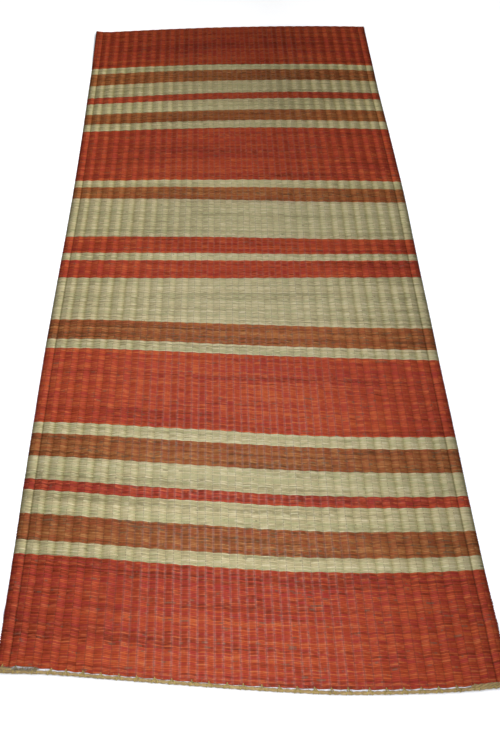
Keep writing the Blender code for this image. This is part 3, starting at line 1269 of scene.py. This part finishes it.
        # Painted shade along the selvedge's outer edge and in the crease inside its ridge.
        rim = board.ease(away, *self.rim, 1.0, self.rim_shade)
        fold = board.math("ABSOLUTE", board.math("SUBTRACT", away, self.fold_place))
        fold = board.ease(fold, *self.fold_reach, self.fold_shade, 1.0)
        level = board.math("MULTIPLY", level, board.math("MULTIPLY", rim, fold))
        # Painted shade where the stems pass the warps.
        level = board.math("MULTIPLY", level,
                           board.ease(gap, *self.notch_shade_range, self.notch_shade, 1.0))
        colour = board.mix(1.0, colour, board.join(level, level, level), "MULTIPLY")
        # Painted shade in the valleys, tinted, fading out towards the middle of the mat.
        low = board.math("MULTIPLY", board.ease(crest, *self.valley_shade_crests, 1.0, 0.0),
                         board.ease(away, *self.valley_shade_sides, self.valley_shade_middle, 1.0))
        return board.mix(low, colour, board.mix(1.0, colour, self.valley_shade, "MULTIPLY"))


@dataclass(frozen=True)
class ThreadFinish:
    """Thin warp thread, twisted and dark with use."""

    name: str = "warp_thread"
    dark: Colour = (0.045, 0.020, 0.008)
    pale: Colour = (0.105, 0.050, 0.022)
    turns: float = 420.0
    cloud_scale: float = 60.0
    thread_step: float = 7.3
    roughness: Range = (0.55, 0.70)
    twist_depth: float = 0.0001

    def material(self) -> bpy.types.Material:
        """Build the finish. It reads the run attribute: along, round and thread.

        Returns:
            The material.
        """
        board = NodeBoard(self.name)
        along, around, number = board.attribute("run")
        place = board.join(board.math("MULTIPLY", along, self.cloud_scale),
                           board.math("MULTIPLY", number, self.thread_step), around)
        cloud = board.noise(place, detail=3.0)
        colour = board.ramp(cloud, ((0.25, self.dark), (0.6, self.pale)))
        board.feed(board.shader.inputs["Base Color"], colour)
        twist = board.math("SINE", board.math("MULTIPLY", board.math(
            "ADD", board.math("MULTIPLY", along, self.turns), around), 2 * math.pi))
        rough = board.ease(cloud, 0.3, 0.7, *self.roughness)
        board.feed(board.shader.inputs["Roughness"], rough)
        board.relief(twist, self.twist_depth, 0.5)
        board.shader.inputs["Specular IOR Level"].default_value = 0.1
        return board.material


@dataclass(frozen=True)
class JuteFinish:
    """Coarse natural jute: twisted fibres, tan with darker and paler strands."""

    name: str = "jute"
    dark: Colour = (0.095, 0.060, 0.018)
    body: Colour = (0.27, 0.175, 0.055)
    pale: Colour = (0.42, 0.31, 0.13)
    tone_stops: tuple[float, float, float] = (0.30, 0.48, 0.68)
    fibre_turns: float = 160.0
    round_scale: float = 9.0
    length_scale: float = 60.0
    cloud_scale: float = 45.0
    fibre_depth: float = 0.0003
    roughness: float = 0.78

    def material(self) -> bpy.types.Material:
        """Build the finish. It reads the run attribute: along, round and strand.

        Returns:
            The material.
        """
        board = NodeBoard(self.name)
        along, around, number = board.attribute("run")
        spiral = board.math("ADD", board.math("MULTIPLY", along, self.fibre_turns), around)
        place = board.join(board.math("MULTIPLY", spiral, self.round_scale),
                           board.math("MULTIPLY", along, self.length_scale), number)
        fibres = board.noise(place, detail=4.0, roughness=0.7)
        cloud = board.noise(board.join(board.math("MULTIPLY", along, self.cloud_scale),
                                       around, number), detail=2.0)
        tone = board.math("ADD", board.math("MULTIPLY", fibres, 0.6),
                          board.math("MULTIPLY", cloud, 0.4))
        colour = board.ramp(tone, tuple(zip(self.tone_stops,
                                            (self.dark, self.body, self.pale))))
        board.feed(board.shader.inputs["Base Color"], colour)
        board.feed(board.shader.inputs["Roughness"],
                   board.ease(fibres, 0.3, 0.7, self.roughness - 0.08, self.roughness + 0.1))
        wave = board.math("SINE", board.math("MULTIPLY", spiral, 4 * math.pi))
        board.relief(board.math("ADD", board.math("MULTIPLY", wave, 0.3), fibres),
                     self.fibre_depth, 0.8)
        board.shader.inputs["Sheen Weight"].default_value = 0.15
        return board.material


FINISHES: dict[Dye, SedgeFinish] = {
    Dye.RED: SedgeFinish(
        "sedge_red", dark=(0.148, 0.023, 0.010), body=(0.303, 0.0445, 0.0155),
        bright=(0.39, 0.081, 0.023), cool=(0.27, 0.028, 0.022), streak=(0.40, 0.112, 0.038),
        fleck=(0.125, 0.072, 0.043), worn_sheen=(0.36, 0.122, 0.075)),
    Dye.DEEP_RED: SedgeFinish(
        "sedge_deep_red", dark=(0.140, 0.021, 0.011), body=(0.285, 0.044, 0.016),
        bright=(0.38, 0.072, 0.024), cool=(0.25, 0.028, 0.021), streak=(0.39, 0.10, 0.038),
        fleck=(0.110, 0.062, 0.036), worn_sheen=(0.34, 0.110, 0.070)),
    Dye.BROWN: SedgeFinish(
        "sedge_brown", dark=(0.115, 0.042, 0.015), body=(0.242, 0.077, 0.0230),
        bright=(0.32, 0.120, 0.035), cool=(0.25, 0.057, 0.021), streak=(0.37, 0.185, 0.064),
        fleck=(0.115, 0.084, 0.044), worn_sheen=(0.30, 0.150, 0.090), valley_shade=(0.82, 0.76, 0.68),
        spread=1.25, flecked=0.13, groove=0.42),
    Dye.NATURAL: SedgeFinish(
        "sedge_natural", dark=(0.224, 0.189, 0.089), body=(0.380, 0.313, 0.158),
        bright=(0.472, 0.402, 0.219), cool=(0.319, 0.303, 0.143), streak=(0.53, 0.452, 0.28),
        fleck=(0.150, 0.130, 0.065), worn_sheen=(0.36, 0.33, 0.21), valley_shade=(0.80, 0.80, 0.69),
        flecked=0.06, coat=0.11, notch_shade=0.97),
}

UNDERSIDE_FINISH = SedgeFinish(
    "sedge_underside", dark=(0.13, 0.06, 0.03), body=(0.28, 0.13, 0.06),
    bright=(0.36, 0.24, 0.12), cool=(0.24, 0.10, 0.05), streak=(0.40, 0.30, 0.16),
    fleck=(0.10, 0.07, 0.04), worn_sheen=(0.34, 0.24, 0.14))


# The mat's sub-assemblies


@dataclass
class StripedTop:
    """The stripes: every stem of sedge, woven over and under the warps."""

    weave: Weave
    skin: float = 0.0017
    least_floor: float = 0.00025
    least_body: float = 0.0001

    def build(self) -> list[bpy.types.Object]:
        """Build and dress all the stripes, near end first.

        Returns:
            The pieces.
        """
        pieces = []
        stripes = self.weave.plan.near_first()
        for number, stripe in enumerate(stripes, start=1):
            name = f"stripe_{number:02d}_{stripe.dye.value}"
            mesh = self.stripe_mesh(name, self.weave.first_stem[number - 1],
                                    self.weave.first_stem[number])
            finish = FINISHES[stripe.dye].material(stripe.shade)
            pieces.append(new_piece(name, mesh, finish))
        return pieces

    def stripe_mesh(self, name: str, first: int, end: int) -> bpy.types.Mesh:
        """One stripe's mesh, from its first stem to the next stripe's first.

        Args:
            name: Name of the mesh.
            first: Number of its first stem.
            end: Number of the stem after its last.

        Returns:
            The finished mesh.
        """
        weave = self.weave
        rows, columns = 2 * (end - first) + 1, len(weave.columns.across)
        mesh = slab(name, columns, rows)
        marked = read_points(mesh)
        column, row = marks(marked, columns, rows)
        below = marked[:, 2] < -0.5
        row = row + 2 * first
        height = weave.z[row, column]
        body = weave.base[row, column]
        lifted = np.where(below, self.lifted(row, column), 0.0)
        floor = np.maximum(body - self.skin, self.least_floor) + lifted
        floor = np.minimum(floor, height - self.least_body)
        write_points(mesh, np.column_stack([weave.x[row, column], weave.y[row, column],
                                            np.where(below, floor, height)]))
        write_attribute(mesh, "weave", np.column_stack([
            weave.columns.across[column], row / 2, weave.columns.crest[column]]))
        return mesh

    def lifted(self, row: np.ndarray, column: np.ndarray) -> np.ndarray:
        """Height of the mat off the floor at points of the weave."""
        return self.weave.lift(self.weave.columns.across[column], self.weave.along[row])


@dataclass
class Underside:
    """The mat's lower face: one closed sheet that follows the ribs below the stripes."""

    weave: Weave
    rows: int = 96
    inset: float = 0.0016
    top_gap: float = 0.0015
    least_top: float = 0.00045
    bottom_gap: float = 0.00005
    hollow: float = 0.30
    least_body: float = 0.0003

    def build(self) -> bpy.types.Object:
        """Build and dress the closed sheet that the stripes lie on.

        Returns:
            The piece.
        """
        weave = self.weave
        columns = len(weave.columns.across)
        builder = bmesh.new()
        bmesh.ops.create_grid(builder, x_segments=columns - 1, y_segments=self.rows - 1,
                              size=1.0)
        made = bmesh.ops.extrude_face_region(builder, geom=builder.faces[:],
                                             use_keep_orig=True)
        lower = [item for item in made["geom"] if isinstance(item, bmesh.types.BMVert)]
        bmesh.ops.translate(builder, verts=lower, vec=(0, 0, -1))
        bmesh.ops.recalc_face_normals(builder, faces=builder.faces[:])
        mesh = to_mesh("underside", builder)
        marked = read_points(mesh)
        column, row = marks(marked, columns, self.rows)
        below = marked[:, 2] < -0.5
        rim = weave.lie.width / 2 - self.inset
        across = weave.columns.across[column].clip(-rim, rim)
        length = weave.lie.far - weave.lie.near - 2 * self.inset
        along = weave.lie.near + self.inset + length * row / (self.rows - 1)
        along = along + 0.5 * weave.arched(weave.columns.crest[column], across, along)
        x, y = weave.lie.place(across, along)
        body = weave.base_height(weave.columns.height[column], along)
        top = np.maximum(body - self.top_gap, self.least_top)
        bottom = self.bottom_gap + self.hollow * (body - weave.ribs.valley).clip(0)
        bottom = np.minimum(bottom, top - self.least_body)
        height = np.where(below, bottom, top) + weave.lie.curl(x, y)
        write_points(mesh, np.column_stack([x, y, height]))
        write_attribute(mesh, "weave", np.column_stack([
            across, (along - weave.lie.near) / weave.stem_pitch,
            weave.columns.crest[column]]))
        piece = new_piece("underside", mesh, UNDERSIDE_FINISH.material())
        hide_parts("woven_mat")
        return piece


HITCHES_MM: tuple[float, ...] = (
    -438, -414, -380, -350, -324, -294, -262, -230, -199, -167, -137, -102, -72, -40, -12,
    20, 50, 81, 111, 140, 169, 206, 235, 265, 295, 325, 356, 388, 418,
)


@dataclass
class Warps:
    """The thin threads that the stems are woven over and under."""

    weave: Weave
    half_width: float = 0.00040
    proud: float = -0.00018
    sunk: float = 0.0010
    bend_length: float = 0.024
    wander: float = 0.00010

    def build(self) -> list[bpy.types.Object]:
        """Build and dress the threads of the valleys and those of the crests.

        Returns:
            The pieces.
        """
        finish = ThreadFinish().material()
        columns = np.flatnonzero(self.weave.columns.warp)
        beat = self.weave.columns.beat[columns]
        pieces = []
        for name, chosen in (("valley_warps", columns[beat > 0]),
                             ("crest_warps", columns[beat < 0])):
            paths, radii = [], []
            for column, hitch in zip(chosen, HITCHES_MM[-len(chosen):]):
                shift = hitch * MM - self.weave.columns.across[column]
                path = self.thread(int(column), float(shift))
                paths.append(path)
                radii.append(np.full(len(path), self.half_width))
            mesh = sweep(name, paths, radii, 3)
            pieces.append(new_piece(name, mesh, finish))
        return pieces

    def thread(self, column: int, shift: float) -> np.ndarray:
        """The line of one thread along the mat, near end first.

        Args:
            column: Column of the weave that it runs in.
            shift: How far it bends aside to its hitch at the near end.

        Returns:
            Points along it.
        """
        weave = self.weave
        ridge = np.flatnonzero(weave.ridge)
        stem = ridge // 2
        sign = np.where(stem % 2 == 0, 1.0, -1.0) * weave.columns.beat[column]
        rise = np.where(sign < 0, self.proud, -self.sunk)
        x = weave.x[ridge, column] + weave.rng.normal(0.0, self.wander, len(ridge))
        y = weave.y[ridge, column]
        z = weave.z[ridge, column] + rise
        left = np.clip(1 - (weave.along[ridge] - weave.lie.near) / self.bend_length, 0, 1)
        x = x + shift * left ** 2
        return np.column_stack([x, y, z])


@dataclass
class EndCord:
    """The two-ply jute cord along the near end, with its ends turned back.

    Each slack is (across, gap in mm between the mat and the cord).
    """

    weave: Weave
    radius: float = 0.0031
    strand_radius: float = 0.00205
    strand_offset: float = 0.00108
    lay: float = 0.024
    step: float = 0.0015
    end_inset: float = 0.0030
    left_turn: float = 0.024
    right_turn: float = 0.064
    turn_gap: float = 0.0036
    turn_rise: float = 0.0012
    turn_tuck: Range = (0.75, 0.25)
    off_floor: float = 0.0003
    slacks: tuple[tuple[float, float], ...] = (
        (-0.450, 5.4), (-0.435, 5.6), (-0.415, 4.8), (-0.390, 3.4), (-0.360, 2.1),
        (-0.300, 1.5), (-0.260, 1.5), (-0.190, 1.0), (-0.060, 0.8), (0.030, 1.3),
        (0.080, 1.7), (0.155, 2.6), (0.220, 2.0), (0.275, 1.6), (0.350, 1.8),
        (0.400, 1.4), (0.450, 0.8),
    )

    def edge(self, across: np.ndarray) -> tuple[np.ndarray, np.ndarray]:
        """Places on X and Y on the mat's near edge."""
        return self.weave.lie.place(across, np.full_like(across, self.weave.lie.near))

    def centre(self, across: np.ndarray) -> np.ndarray:
        """Points on the cord's middle line.

        Args:
            across: Nominal places across the mat.

        Returns:
            The points, as rows of x, y and z.
        """
        table = np.array(self.slacks)
        gap = MM * smooth_between(table[:, 0], table[:, 1], across)
        x, y = self.edge(across)
        return np.column_stack([x, y - gap - self.radius,
                                np.full_like(x, self.radius + self.off_floor)])

    def turned_end(self, side: int, length: float) -> np.ndarray:
        """Middle line of one end: back along the mat's edge and round to the main run.

        Args:
            side: -1 for the left end and 1 for the right.
            length: Length of cord that lies doubled.

        Returns:
            Points from the cut end to the main run.
        """
        outer = self.weave.lie.width / 2 - self.end_inset - self.turn_gap / 2
        across = side * np.arange(outer - length, outer, self.step)
        back = self.centre(across)
        fade = np.clip(np.arange(len(across)) / 6, 0.0, 1.0)
        least, more = self.turn_tuck
        back[:, 1] += self.turn_gap * (least + more * fade)
        back[:, 2] += self.turn_rise
        bend = np.linspace(0.0, math.pi, 6)[1:-1]
        start = self.centre(np.array([side * outer]))[0]
        bow = np.column_stack([
            start[0] + side * np.sin(bend) * self.turn_gap / 2,
            start[1] + (1 + np.cos(bend)) * self.turn_gap / 2,
            start[2] + self.turn_rise * (1 + np.cos(bend)) / 2])
        return np.vstack([back, bow])

    def middle_line(self) -> np.ndarray:
        """The whole cord's middle line, from one cut end to the other.

        Returns:
            The points, as rows of x, y and z.
        """
        outer = self.weave.lie.width / 2 - self.end_inset - self.turn_gap / 2
        run = self.centre(np.arange(-outer, outer, self.step))
        left = self.turned_end(-1, self.left_turn)
        right = self.turned_end(1, self.right_turn)[::-1]
        return np.vstack([left, run, right])

    def build(self) -> bpy.types.Object:
        """Build and dress the cord.

        Returns:
            The piece.
        """
        line = self.middle_line()
        steps = np.linalg.norm(np.diff(line, axis=0), axis=1)
        length = np.concatenate([[0.0], np.cumsum(steps)])
        ahead = np.gradient(line, axis=0)
        ahead /= np.linalg.norm(ahead, axis=1)[:, None]
        level = np.cross(ahead, (0.0, 0.0, 1.0))
        level /= np.linalg.norm(level, axis=1)[:, None]
        upward = np.cross(level, ahead)
        strands, radii = [], []
        for start in (0.0, math.pi):
            turn = (start + 2 * math.pi * length / self.lay)[:, None]
            strands.append(line + self.strand_offset * (level * np.cos(turn)
                                                        + upward * np.sin(turn)))
            radii.append(np.full(len(line), self.strand_radius))
        mesh = sweep("twisted_cord", strands, radii, 8)
        piece = new_piece("twisted_cord", mesh, JuteFinish().material())
        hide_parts("end_cord")
        return piece


@dataclass
class Hitches:
    """The warp ends that are looped over the cord, each with two legs that part.

    Each start is (share of the lean, place aside, place behind the mat's edge, height),
    the places and heights in mm.
    """

    weave: Weave
    cord: EndCord
    strand: float = 0.00115
    clearance: float = -0.0016
    spread: float = 0.0046
    rings: int = 13
    lean: float = 0.0008
    wrap: Range = (40.0, 185.0)
    parted: float = 110.0
    least_gap: float = 0.00005
    starts: tuple[tuple[float, float, float, float], ...] = (
        (0.0, 0.0, 3.0, 2.6), (0.0, 0.0, 1.2, 3.0), (0.5, 1.1, -0.6, 3.6),
    )
    thickness: Range = (0.85, 1.15)
    taper: Range = (0.8, 1.1)
    finish: JuteFinish = JuteFinish("hitch_fibre", (0.11, 0.075, 0.012),
                                    (0.27, 0.195, 0.035), (0.42, 0.32, 0.09))

    def leg(self, across: float, side: int, lean: float) -> np.ndarray:
        """One leg: from the mat's edge over the cord, round its front and below it.

        Args:
            across: Place of the hitch.
            side: -1 for the left leg and 1 for the right.
            lean: Shift of the whole loop on the cord.

        Returns:
            Points along the leg.
        """
        x, y = (float(part[0]) for part in self.cord.edge(np.array([across])))
        cord = self.cord.centre(np.array([across]))[0]
        reach = self.cord.radius + self.clearance + self.strand
        angle = np.radians(np.linspace(*self.wrap, self.rings - 3))
        part = np.sin(np.clip(angle / math.radians(self.parted), 0, 1) * math.pi / 2)
        around = np.column_stack([
            x + lean + side * self.spread * part,
            cord[1] + reach * np.cos(angle),
            np.maximum(cord[2] + reach * np.sin(angle), self.strand + self.least_gap)])
        start = np.array([[x + lean * share + side * aside * MM, y + behind * MM, high * MM]
                          for share, aside, behind, high in self.starts])
        return np.vstack([start, around])

    def build(self) -> bpy.types.Object:
        """Build and dress all the hitches.

        Returns:
            The piece.
        """
        rng = self.weave.rng
        paths, radii = [], []
        for place in HITCHES_MM:
            across = place * MM
            lean = rng.normal(0.0, self.lean)
            for side in (-1, 1):
                path = self.leg(float(across), side, float(lean))
                paths.append(path)
                thickness = self.strand * rng.uniform(*self.thickness)
                radii.append(np.linspace(*self.taper, len(path)) * thickness)
        mesh = sweep("hitches", paths, radii, 5)
        return new_piece("hitches", mesh, self.finish.material())


@dataclass
class LooseFibres:
    """Frayed fibres between the cord and the mat, thickest by the left corner.

    Each clump is (from, to, number of fibres), at places across the mat.
    """

    weave: Weave
    cord: EndCord
    clumps: tuple[tuple[float, float, int], ...] = (
        (-0.440, -0.376, 330), (-0.37, 0.36, 44), (0.37, 0.45, 24),
    )
    radius: float = 0.00030
    rings: int = 7
    root_mm: tuple[float, float, float] = (0.0, 0.5, 1.6)
    spans_mm: Range = (4.0, 9.0)
    headings: Range = (0.15, 0.85)
    sway: float = 0.0016
    rises_mm: Range = (0.4, 1.6)
    thickness: Range = (0.8, 1.7)
    taper: Range = (1.0, 0.5)
    finish: JuteFinish = JuteFinish("loose_fibre", (0.045, 0.030, 0.012),
                                    (0.20, 0.14, 0.06), (0.50, 0.42, 0.24))

    def build(self) -> bpy.types.Object:
        """Build and dress the fibres.

        Returns:
            The piece.
        """
        rng = self.weave.rng
        paths, radii = [], []
        for start, end, count in self.clumps:
            for across in rng.uniform(start, end, count):
                paths.append(self.fibre(float(across), rng))
                radii.append(np.linspace(*self.taper, self.rings) * self.radius
                             * rng.uniform(*self.thickness))
        mesh = sweep("loose_fibres", paths, radii, 3)
        return new_piece("loose_fibres", mesh, self.finish.material())

    def fibre(self, across: float, rng: np.random.Generator) -> np.ndarray:
        """A bent fibre from the cord to the mat's edge.

        Args:
            across: Place where it leaves the cord.
            rng: Source of random numbers.

        Returns:
            Points along it.
        """
        start = self.cord.centre(np.array([across]))[0] + np.array(self.root_mm) * MM
        span = rng.uniform(*self.spans_mm) * MM
        heading = rng.uniform(*self.headings) * math.pi
        share = np.linspace(0.0, 1.0, self.rings)
        sway = rng.normal(0.0, self.sway) * np.sin(share * math.pi)
        return np.column_stack([
            start[0] + share * span * math.cos(heading) + sway * math.sin(heading),
            start[1] + share * span * math.sin(heading) - sway * math.cos(heading),
            start[2] + np.sin(share * math.pi) * rng.uniform(*self.rises_mm) * MM])


# Floor, light and camera


@dataclass(frozen=True)
class SideLight:
    """A pair of long soft lights, one over each half, each turned to the other half."""

    name: str
    x: float
    y: float
    z: float
    tilt: float
    power: float
    left_share: float
    length: float


@dataclass(frozen=True)
class Studio:
    """Plain pale floor, soft lights over the mat, and the camera."""

    focal_px: float = 640.0
    image_px: float = 750.0
    axis_px: float = 30.0
    pitch: float = 58.436
    yaw: float = 1.23
    roll: float = -1.81
    eye: tuple[float, float, float] = (-0.030, -1.1197, 1.231)
    floor_size: float = 60.0
    floor_tone: Colour = (0.52, 0.52, 0.52)
    floor_glow: float = 0.72
    contact_shade_power: float = 2.4
    contact_shade_reach: float = 0.010
    fill: float = 0.12
    sides: tuple[SideLight, ...] = (
        SideLight("near", 0.98, -0.99, 1.50, 71.5, 37.2, 0.86, 2.00),
        SideLight("far", 0.51, 0.61, 0.94, 74.5, 11.8, 0.91, 1.42),
    )
    side_width: float = 0.10
    side_spread: float = 107.5
    gloss_place: tuple[float, float, float] = (-0.03, -0.62, 0.88)
    gloss_size: Range = (0.60, 1.40)
    gloss_power: float = 17.0
    sky_place: tuple[float, float, float] = (0.0, -0.45, 0.80)
    sky_size: Range = (0.90, 1.30)
    sky_power: float = 3.4
    sky_colour: Colour = (0.15, 0.32, 1.0)

    def build(self) -> None:
        """Make the floor, the lights and the camera."""
        self.floor()
        self.lights()
        self.camera()

    def floor(self) -> None:
        """A pale, evenly glowing floor under the mat, with painted shade where the mat and the
        cord stand close to it.
        """
        builder = bmesh.new()
        bmesh.ops.create_grid(builder, x_segments=1, y_segments=1, size=self.floor_size / 2)
        mesh = to_mesh("floor", builder)
        board = NodeBoard("pale_floor")
        board.shader.inputs["Base Color"].default_value = (*self.floor_tone, 1.0)
        board.shader.inputs["Roughness"].default_value = 0.9
        board.shader.inputs["Specular IOR Level"].default_value = 0.1
        board.shader.inputs["Emission Color"].default_value = (1.0, 1.0, 1.0, 1.0)
        # Ambient occlusion dims the glow: painted shade on the floor beside the mat's edges and
        # under the cord.
        nearby = board.node("ShaderNodeAmbientOcclusion", samples=8)
        nearby.inputs["Distance"].default_value = self.contact_shade_reach
        glow = board.math("MULTIPLY", board.math("POWER", nearby.outputs["AO"],
                                                 self.contact_shade_power), self.floor_glow)
        board.feed(board.shader.inputs["Emission Strength"], glow)
        mesh.materials.append(board.material)
        floor = bpy.data.objects.new("floor", mesh)
        bpy.context.scene.collection.objects.link(floor)

    def lamp(self, name: str, place: Vector, tilt: float, size: tuple[float, float],
             power: float) -> bpy.types.Object:
        """One long soft light that runs along the mat.

        Args:
            name: Name of the light.
            place: Its middle.
            tilt: Turn about Y in degrees, from straight down towards +X.
            size: Its width and length.
            power: Its power in watts.

        Returns:
            The light.
        """
        data = bpy.data.lights.new(name, "AREA")
        data.shape = "RECTANGLE"
        data.size, data.size_y = size
        data.energy = power
        light = bpy.data.objects.new(name, data)
        light.location = place
        light.rotation_euler = (0.0, -math.radians(tilt), 0.0)
        light.visible_camera = False
        bpy.context.scene.collection.objects.link(light)
        return light

    def lights(self) -> None:
        """Lights that cross over the mat, one for gloss, a blue one, and a white surround."""
        for pair in self.sides:
            for side, share in ((-1, pair.left_share), (1, 2 - pair.left_share)):
                lamp = self.lamp(f"{pair.name}_side_{side}",
                                 Vector((side * pair.x, pair.y, pair.z)), -side * pair.tilt,
                                 (self.side_width, pair.length), pair.power * share)
                lamp.data.spread = math.radians(self.side_spread)
                lamp.visible_glossy = False
        gloss = self.lamp("gloss_strip", Vector(self.gloss_place), 0.0, self.gloss_size,
                          self.gloss_power)
        gloss.visible_diffuse = False
        sky = self.lamp("sky_strip", Vector(self.sky_place), 0.0, self.sky_size,
                        self.sky_power)
        sky.data.color = self.sky_colour
        sky.visible_glossy = False
        world = bpy.data.worlds.new("surround")
        world.use_nodes = True
        background = world.node_tree.nodes["Background"]
        background.inputs["Color"].default_value = (1.0, 1.0, 1.0, 1.0)
        background.inputs["Strength"].default_value = self.fill
        bpy.context.scene.world = world
        bpy.context.scene.view_settings.view_transform = "Standard"

    def camera(self) -> None:
        """The camera at the picture's viewing angle."""
        data = bpy.data.cameras.new("camera")
        data.sensor_width = 36.0
        data.lens = self.focal_px / self.image_px * data.sensor_width
        data.shift_x = self.axis_px / self.image_px
        camera = bpy.data.objects.new("camera", data)
        turn = (Matrix.Rotation(math.radians(self.yaw), 4, "Z")
                @ Matrix.Rotation(math.radians(90 - self.pitch), 4, "X")
                @ Matrix.Rotation(math.radians(self.roll), 4, "Z"))
        camera.matrix_world = Matrix.Translation(self.eye) @ turn
        bpy.context.scene.collection.objects.link(camera)
        bpy.context.scene.camera = camera


def report(pieces: list[bpy.types.Object]) -> None:
    """Log each piece's name and number of triangles.

    Args:
        pieces: The pieces.
    """
    for piece in pieces:
        piece.data.calc_loop_triangles()
        LOG.info("%s: %d triangles", piece.name, len(piece.data.loop_triangles))


def main() -> None:
    """Build the mat, the cord and the studio."""
    logging.basicConfig(level=logging.INFO, format="%(message)s")
    weave = Weave()
    LOG.info("weave: %d stems, %d columns", weave.stems, len(weave.columns.across))
    stripes = StripedTop(weave).build()
    report(stripes)
    underside = Underside(weave).build()
    report([underside])
    warps = Warps(weave).build()
    report(warps)
    end_cord = EndCord(weave)
    ties = [end_cord.build(), Hitches(weave, end_cord).build(),
            LooseFibres(weave, end_cord).build()]
    report(ties)
    Studio().build()


if __name__ == "__main__":
    main()
